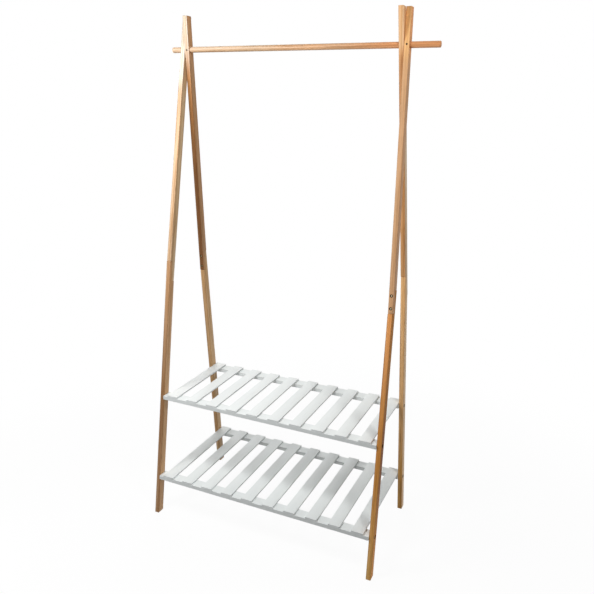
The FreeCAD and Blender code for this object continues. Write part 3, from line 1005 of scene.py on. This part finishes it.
@cache
def fastener_tree() -> NodeTree:
    """Geometry tree that sets one fastener on every point, turned as the point says.

    Returns:
        The tree, with named inputs for the fastener and its finish.
    """
    sockets = {**GEOMETRY, "Object": ("Fastener",), "Material": ("Finish",)}
    graph, given = new_tree("GeometryNodeTree", "fastener_set", sockets, GEOMETRY)
    master = graph.node("GeometryNodeObjectInfo", {"Object": given["Fastener"]}).outputs["Geometry"]
    facing = graph.out("GeometryNodeInputNamedAttribute", {"Name": "facing"}, data_type="FLOAT_VECTOR")
    turn = graph.out("FunctionNodeEulerToRotation", {"Euler": facing})
    spots = graph.out("GeometryNodeMeshToPoints", {"Mesh": given["Geometry"]})
    setting = {"Points": spots, "Instance": master, "Rotation": turn}
    return close_tree(graph, graph.out("GeometryNodeInstanceOnPoints", setting), given["Finish"])


def run_tree(obj: Object, tree: NodeTree, values: dict[str, Any]) -> None:
    """Run a geometry tree on an object and keep the result as its mesh.

    Args:
        obj: Object that the tree works on.
        tree: The tree.
        values: Value of each named input.
    """
    modifier = obj.modifiers.new(tree.name, "NODES")
    modifier.node_group = tree
    for item in tree.interface.items_tree:
        if item.in_out == "INPUT" and item.name in values:
            modifier[item.identifier] = values[item.name]
    freeze(obj)


@dataclass
class SlattedShelf:
    """One shelf: ten slats across two flat rails that are bolted between the legs."""

    sizes: RackSizes
    level: Level
    top: float
    slat_paint: Material
    rail_paint: Material
    seed: int
    slat_count: int = 10
    slat_width: float = 38.0
    slat_edge: float = 0.8
    slat_edge_steps: int = 3
    slat_end_gap: float = 1.5
    rail_width: float = 36.0

    @property
    def rail_middle(self) -> float:
        """Height of the middle of the shelf's rails."""
        return self.sizes.shelf_rail_height(self.top)

    @property
    def rail_y(self) -> float:
        """Distance of each rail's middle from the middle of the rack."""
        return self.sizes.leg_y(self.rail_middle)

    @property
    def step(self) -> float:
        """Pitch of the slats."""
        room = self.sizes.clear_span(Depth.REAR) - 2 * self.slat_end_gap - self.slat_width
        return room / (self.slat_count - 1)

    def slat_x(self, index: int) -> float:
        """Middle of a slat along the rail."""
        return self.sizes.frame_middle + (index - (self.slat_count - 1) / 2) * self.step

    def nodes(self) -> list[str]:
        """Nodes of the slats."""
        return [f"{self.level.value}_shelf_slat_{index + 1:02d}" for index in range(self.slat_count)]

    def build(self) -> None:
        """Lay the slats and finish the rails under them."""
        name = f"{self.level.value}_shelf_slats"
        row = link_mesh(name, bpy.data.meshes.new(f"{name}_start"))
        thickness = self.sizes.slat_thickness
        values = {
            "Count": self.slat_count,
            "Step": self.step * MM,
            "Width": self.slat_width * MM,
            "Thickness": thickness * MM,
            "Length": (2 * self.rail_y + self.rail_width) * MM,
            "Edge": self.slat_edge * MM,
            "Edge Steps": self.slat_edge_steps,
            "First": Vector((self.slat_x(0), 0, self.top - thickness / 2)) * MM,
            "Seed": self.seed,
            "Finish": self.slat_paint,
        }
        run_tree(row, slat_tree(), values)
        for depth in Depth:
            paint_node(f"{self.level.value}_shelf_{depth.name.lower()}_rail", self.rail_paint)
        finish_piece(row, self.nodes())


@dataclass(frozen=True)
class FastenerShape:
    """Form of one headed fastener in millimetres; its origin is under the head."""

    head: float
    head_depth: float
    shank: float
    length: float
    drive: Drive
    recess: float
    recess_depth: float
    crown: float = 0.5
    steps: int = 24
    tip: ClassVar[float] = 0.5
    rim: ClassVar[float] = 0.2
    mouth: ClassVar[float] = 0.4
    crown_bend: ClassVar[float] = 0.3
    arm_root: ClassVar[float] = 0.34
    socket_turn: ClassVar[float] = math.radians(15)

    def recess_edge(self, grow: float) -> Callable[[float], float]:
        """Outline of the recess.

        Args:
            grow: How much wider than its size the recess is.

        Returns:
            Radius of the outline at an angle.
        """
        half = (self.recess + grow) / 2

        def hexagon(turn: float) -> float:
            """Radius of a six-sided socket."""
            part = (turn - self.socket_turn) % (math.pi / 3)
            return half / math.cos(part - math.pi / 6)

        def cross(turn: float) -> float:
            """Radius of a cross recess with four arms."""
            return half * (self.arm_root + (1 - self.arm_root) * abs(math.cos(2 * turn)) ** 3)

        return hexagon if self.drive is Drive.HEX else cross

    def rings(self) -> list[Ring]:
        """Draw the fastener.

        Returns:
            Rings from the tip of the shank to the floor of the recess.
        """
        half_head = self.head / 2
        half_shank = self.shank / 2
        top = self.head_depth
        bend = self.crown_bend * self.crown
        return [
            (half_shank - self.tip, -self.length),
            (half_shank, self.tip - self.length),
            (half_shank, 0.0),
            (half_head - self.rim, 0.0),
            (half_head, self.rim),
            (half_head, top - self.crown),
            (half_head - bend, top - bend),
            (half_head - self.crown, top),
            (self.recess_edge(self.mouth), top),
            (self.recess_edge(0.0), top - self.mouth / 2),
            (self.recess_edge(0.0), top - self.recess_depth),
        ]


@dataclass
class FastenerSet:
    """All fasteners of one kind, as one piece."""

    node: str
    shape: FastenerShape
    steel: Material
    slot: str
    places: list[Matrix]

    def master(self) -> Object:
        """Turn one fastener at the origin, and mark the floor of its recess as bare.

        Returns:
            The fastener that the set repeats.
        """
        form = bmesh.new()
        lathe(form, self.shape.rings(), Matrix.Identity(4), self.shape.steps)
        made = link_form(f"{self.node}_master", form)
        bare = made.data.attributes.new("bare", "FLOAT", "POINT")
        first_bare = len(made.data.vertices) - self.shape.steps
        for index, item in enumerate(bare.data):
            item.value = 1.0 if index >= first_bare else 0.0
        return made

    def build(self) -> None:
        """Set a fastener at every place."""
        mesh = bpy.data.meshes.new(f"{self.node}_spots")
        mesh.from_pydata([place.translation for place in self.places], [], [])
        facing = mesh.attributes.new("facing", "FLOAT_VECTOR", "POINT")
        for item, place in zip(facing.data, self.places):
            item.vector = place.to_euler("XYZ")
        master = self.master()
        piece = link_mesh(f"{self.node}_steel", mesh)
        run_tree(piece, fastener_tree(), {"Fastener": master, "Finish": self.steel})
        discard(master)
        finish_piece(piece, [self.node])


@dataclass
class Hardware:
    """Bolts and screws that hold the legs, the rail and the shelves."""

    sizes: RackSizes
    legs: LegFrames
    shelves: list[SlattedShelf]
    bronzed: Material
    bright: Material
    black: Material
    splice: FastenerShape = FastenerShape(
        head=9.0, head_depth=3.5, shank=6.0, length=17.8, drive=Drive.HEX, recess=4.0, recess_depth=2.0
    )
    shelf: FastenerShape = FastenerShape(
        head=12.0, head_depth=4.0, shank=5.0, length=42.3, drive=Drive.HEX, recess=4.0, recess_depth=2.2
    )
    lock: FastenerShape = FastenerShape(
        head=5.0,
        head_depth=1.2,
        shank=3.0,
        length=11.8,
        drive=Drive.CROSS,
        recess=3.2,
        recess_depth=0.8,
        crown=0.3,
    )
    slat: FastenerShape = FastenerShape(
        head=5.5,
        head_depth=1.8,
        shank=3.0,
        length=14.7,
        drive=Drive.CROSS,
        recess=3.4,
        recess_depth=1.0,
        crown=0.4,
        steps=12,
    )
    slat_screw_spacing: float = 20.0

    def leg_place(self, leg: LegPiece, sunk: float, rise: float) -> Matrix:
        """Where a fastener stands in the face of an upper leg piece, sunk below it at a rise along it."""
        seat = self.sizes.leg_width / 2 - sunk
        return leg.drill((0, leg.tongue * seat, rise), Vector((0, leg.tongue, 0)))

    def splice_places(self) -> list[Matrix]:
        """Where the lap bolts stand."""
        rises = (self.sizes.splice_pitch / 2, -self.sizes.splice_pitch / 2)
        return [self.leg_place(leg, leg.head_seat, rise) for leg in self.legs.uppers() for rise in rises]

    def lock_places(self) -> list[Matrix]:
        """Where the screws stand that lock the rail."""
        return [self.leg_place(leg, leg.lock_seat, leg.rail_spot[1]) for leg in self.legs.uppers()]

    def shelf_places(self) -> list[Matrix]:
        """Find where the shelf bolts stand.

        Returns:
            Their places, shelf by shelf.
        """
        places = []
        for shelf in self.shelves:
            for depth in Depth:
                seat = self.sizes.clear_span(depth) / 2 + self.sizes.leg_thickness - LegPiece.shelf_seat
                for side in Side:
                    along = self.sizes.frame_middle + side.value * seat
                    spot = Vector((along, depth.value * shelf.rail_y, shelf.rail_middle))
                    turn = Matrix.Rotation(side.value * math.pi / 2, 4, "Y")
                    places.append(Matrix.Translation(spot * MM) @ turn)
        return places

    def slat_places(self, shelf: SlattedShelf) -> list[Matrix]:
        """Find where the screws stand under the slats.

        Args:
            shelf: Shelf whose slats they hold.

        Returns:
            Their places, rail by rail.
        """
        places = []
        height = shelf.rail_middle - self.sizes.shelf_rail_thickness / 2 + self.slat.head_depth
        turn = Matrix.Rotation(math.pi, 4, "X")
        for depth in Depth:
            for index in range(shelf.slat_count):
                for way in (-1, 1):
                    across = depth.value * shelf.rail_y + way * self.slat_screw_spacing / 2
                    spot = Vector((shelf.slat_x(index), across, height))
                    places.append(Matrix.Translation(spot * MM) @ turn)
        return places

    def build(self) -> None:
        """Set every fastener, and finish the hidden hardware."""
        FastenerSet("splice_bolts", self.splice, self.bronzed, "bright_steel", self.splice_places()).build()
        FastenerSet("shelf_bolts", self.shelf, self.black, "black_steel", self.shelf_places()).build()
        FastenerSet("rail_screws", self.lock, self.black, "black_steel", self.lock_places()).build()
        for shelf in self.shelves:
            name = f"{shelf.level.value}_slat_screws"
            FastenerSet(name, self.slat, self.bright, "bright_steel", self.slat_places(shelf)).build()
        for name in ("splice_inserts", "shelf_barrel_nuts"):
            paint_node(name, self.bright)


@dataclass(frozen=True)
class SoftLight:
    """One soft lamp, aimed at a point; places are in metres."""

    name: str
    place: Point
    aim: Point
    size: float
    power: float
    mirrored: bool = True

    def build(self) -> None:
        """Hang the lamp."""
        lamp = bpy.data.lights.new(self.name, "AREA")
        lamp.shape = "DISK"
        lamp.size = self.size
        lamp.energy = self.power
        holder = bpy.data.objects.new(self.name, lamp)
        holder.location = self.place
        heading = Vector(self.aim) - Vector(self.place)
        holder.rotation_euler = heading.to_track_quat("-Z", "Y").to_euler()
        holder.visible_camera = False
        holder.visible_glossy = self.mirrored
        bpy.context.scene.collection.objects.link(holder)


@dataclass
class Studio:
    """White floor, soft light and the camera, whose angles are in radians."""

    lamps: list[SoftLight]
    sky: float = 0.05
    floor_size: float = 40.0
    floor_cells: int = 8
    floor_bounce: float = 0.45
    floor_share: float = 0.05
    shadow_reach: tuple[float, float] = (0.7, 1.6)
    camera_place: Point = (862.9, -1893.5, 1401.5)
    yaw: float = 0.4391
    pitch: float = -0.2227
    roll: float = 0.01131
    lens: float = 40.72
    sensor: float = 36.0
    shift: tuple[float, float] = (0.0202, -0.0791)

    def shown(self, graph: Graph, hidden: NodeSocket, seen: NodeSocket) -> NodeSocket:
        """Choose a shader by how it is looked at.

        Args:
            graph: Graph of the material or world.
            hidden: Shader that lights other surfaces.
            seen: Shader for the eye, a reflection or a look through glass.

        Returns:
            Socket of the chosen shader.
        """
        path = graph.node("ShaderNodeLightPath").outputs
        direct = graph.math("MAXIMUM", path["Is Camera Ray"], path["Is Glossy Ray"])
        direct = graph.math("MAXIMUM", direct, path["Is Transmission Ray"])
        return graph.out("ShaderNodeMixShader", {0: direct, 1: hidden, 2: seen})

    def build_world(self) -> None:
        """Light the room evenly, with a white background behind the rack."""
        world = bpy.data.worlds.new("studio")
        graph = cleared(world)
        soft = graph.out("ShaderNodeBackground", {"Color": WHITE, "Strength": self.sky})
        white = graph.out("ShaderNodeBackground", {"Color": WHITE, "Strength": 1.0})
        graph.node("ShaderNodeOutputWorld", {"Surface": self.shown(graph, soft, white)})
        bpy.context.scene.world = world

    def build_floor(self) -> None:
        """Lay the floor, which looks white and keeps a trace of the rack's shadow."""
        form = bmesh.new()
        cells = self.floor_cells
        bmesh.ops.create_grid(form, x_segments=cells, y_segments=cells, size=self.floor_size / 2)
        floor = link_form("studio_floor", form)
        material = bpy.data.materials.new("studio_floor")
        graph = cleared(material)
        grey = (self.floor_bounce, self.floor_bounce, self.floor_bounce, 1.0)
        matt = graph.out("ShaderNodeBsdfDiffuse", {"Color": grey})
        white = graph.out("ShaderNodeEmission", {"Color": WHITE, "Strength": 1.0})
        chalk = graph.out("ShaderNodeBsdfDiffuse", {"Color": WHITE})
        middle = graph.node("ShaderNodeTexCoord").outputs["Object"]
        away = graph.node("ShaderNodeVectorMath", {0: middle}, operation="LENGTH").outputs["Value"]
        share = graph.span(away, *self.shadow_reach, self.floor_share, 0.0)
        look = graph.out("ShaderNodeMixShader", {0: share, 1: white, 2: chalk})
        graph.node("ShaderNodeOutputMaterial", {"Surface": self.shown(graph, matt, look)})
        floor.data.materials.append(material)

    def build_camera(self) -> None:
        """Stand the camera where the picture was taken from."""
        lens = bpy.data.cameras.new("studio_camera")
        lens.lens = self.lens
        lens.sensor_width = self.sensor
        lens.shift_x, lens.shift_y = self.shift
        camera = bpy.data.objects.new("studio_camera", lens)
        level = Vector((-math.sin(self.yaw), math.cos(self.yaw), 0))
        beside = Vector((math.cos(self.yaw), math.sin(self.yaw), 0))
        rise = Vector((0, 0, 1))
        ahead = math.cos(self.pitch) * level + math.sin(self.pitch) * rise
        upward = -math.sin(self.pitch) * level + math.cos(self.pitch) * rise
        right = math.cos(self.roll) * beside + math.sin(self.roll) * upward
        top = -math.sin(self.roll) * beside + math.cos(self.roll) * upward
        turn = Matrix((right, top, -ahead)).transposed().to_4x4()
        camera.matrix_world = Matrix.Translation(Vector(self.camera_place) * MM) @ turn
        bpy.context.scene.collection.objects.link(camera)
        bpy.context.scene.camera = camera

    def build(self) -> None:
        """Set up the whole studio."""
        self.build_world()
        self.build_floor()
        self.build_camera()
        for lamp in self.lamps:
            lamp.build()
        bpy.context.scene.view_settings.view_transform = "Standard"


# Each stick's tones are partly its wood's own and partly painted light and shade: ends lit or shaded apart,
# and sides toned apart from the face
LEG_FINISHES = {
    # Pale cream face at the top: partly painted sheen of the near left lamp
    (Side.LEFT, Depth.FRONT, Half.UPPER): WoodFinish(
        "left_front_upper_wood",
        body=("F2D3A9", "F2D3A9", "D2B186"),
        face=("D1B08E", "D1B08E", "E7DFD3"),
        reach=(0.4, 0.66),
    ),
    # Face lighter at the foot: partly painted light bounced from the floor
    (Side.LEFT, Depth.FRONT, Half.LOWER): WoodFinish(
        "left_front_lower_wood",
        body=("E0B588", "E0B588", "E0B588"),
        face=("B38D69", "9F754B", "C49D78"),
        reach=(-0.1, -0.86),
    ),
    # Face dark below the top, partly its own tone and partly painted shadow of the left front leg; pale cream
    # top partly painted sheen of the near left lamp
    (Side.LEFT, Depth.REAR, Half.UPPER): WoodFinish(
        "left_rear_upper_wood",
        body=("DBAB7C", "DBAB7C", "EAAF79"),
        face=("7C5430", "AF7E4E", "E6DCCD"),
        reach=(0.2, 0.95),
    ),
    # Face lighter at the foot: partly painted light bounced from the floor
    (Side.LEFT, Depth.REAR, Half.LOWER): WoodFinish(
        "left_rear_lower_wood",
        body=("E6C296", "E6C296", "E6C296"),
        face=("C59F73", "C59F73", "DDBA90"),
        reach=(-0.45, -0.85),
    ),
    # Bright face and sides at the top: painted light, where the right rear leg shades this face from the left
    # lamp
    (Side.RIGHT, Depth.FRONT, Half.UPPER): WoodFinish(
        "right_front_upper_wood",
        body=("CC9863", "CC9863", "F3A359"),
        face=("D8AA7F", "E3B384", "FFC888"),
        reach=(0.4, 0.8),
        figure=0.45,
        streaks=0.3,
    ),
    # Bright face and sides at the foot: painted light, where the lamps' light falls off
    (Side.RIGHT, Depth.FRONT, Half.LOWER): WoodFinish(
        "right_front_lower_wood",
        body=("BC8037", "884C0E", "F3A644"),
        face=("EBA768", "E39D52", "FFCE84"),
        reach=(-0.02, -0.95),
        tint="E9CFA4",
        streak="5E3410",
        figure=0.5,
        streaks=0.35,
        edges=0.5,
        sheen=0.06,
    ),
    # Brighter face at the top: partly painted light
    (Side.RIGHT, Depth.REAR, Half.UPPER): WoodFinish(
        "right_rear_upper_wood",
        body=("F6DCBA", "F6DCBA", "EDBB88"),
        face=("E0A871", "E0A871", "FFD3A4"),
        reach=(0.55, 0.78),
    ),
    (Side.RIGHT, Depth.REAR, Half.LOWER): WoodFinish(
        "right_rear_lower_wood",
        body=("F6D2A2", "F6D2A2", "F6D2A2"),
        face=("EFBE84", "EFBE84", "E9B469"),
        reach=(-0.3, -0.75),
    ),
}
# Paler at the left end: partly painted sheen of the near left lamp
RAIL_FINISH = WoodFinish(
    "rail_wood",
    body=("D3B99F", "DDB28C", "E6A674"),
    face=("D3B99F", "D3B99F", "D3B99F"),
    reach=(0.2, 0.8),
)
BRIGHT = SteelFinish("bright_steel")
BLACK = SteelFinish(
    "black_steel", plate="1C1A18", scuff="2C2A28", worn="24211E", gloss=0.42, glance="606060"
)
BRONZED = SteelFinish(
    "bronzed_steel", plate="1B1106", scuff="2A1C0C", worn="E6D6B4", gloss=0.4, glance="584A38"
)
SLAT_SEEDS = (3, 8)
RACK_MIDDLE = (-0.024, 0.0, 0.7)
LAMPS = [
    SoftLight("left_lamp", (-0.5, -0.8, 1.55), RACK_MIDDLE, size=0.6, power=14.4),
    SoftLight("right_lamp", (1.6, -1.15, 3.0), RACK_MIDDLE, size=0.5, power=19.0),
    SoftLight("near_lamp", (0.9, -0.7, 1.8), (0.36, 0.0, 1.5), size=0.4, power=2.0),
    SoftLight("low_lamp", (-0.85, -0.75, 0.12), (-0.3, -0.2, 0.13), size=0.3, power=0.6),
    SoftLight("side_lamp", (4.5, -0.4, 0.5), RACK_MIDDLE, size=2.0, power=38.0),
    SoftLight("back_lamp", (-1.35, 1.9, 1.55), RACK_MIDDLE, size=2.6, power=41.0, mirrored=False),
]


def main() -> None:
    """Build the rack piece by piece, then the studio round it."""
    logging.basicConfig(level=logging.INFO, format="%(message)s")
    sizes = RackSizes()
    legs = LegFrames(sizes, LEG_FINISHES)
    legs.build()
    HangingRail(sizes, RAIL_FINISH).build()
    as_built = Matrix.Identity(4)
    slat_paint = PaintFinish("slat_paint", by_piece=True).material(as_built)
    rail_paint = PaintFinish("shelf_rail_paint").material(Matrix.Rotation(math.pi / 2, 4, "Z"))
    shelves = []
    for level, top, seed in zip(Level, sizes.shelf_tops, SLAT_SEEDS):
        shelf = SlattedShelf(sizes, level, top, slat_paint, rail_paint, seed)
        shelf.build()
        shelves.append(shelf)
    bronzed, bright, black = [finish.material(as_built) for finish in (BRONZED, BRIGHT, BLACK)]
    Hardware(sizes, legs, shelves, bronzed, bright, black).build()
    Studio(LAMPS).build()


if __name__ == "__main__":
    main()
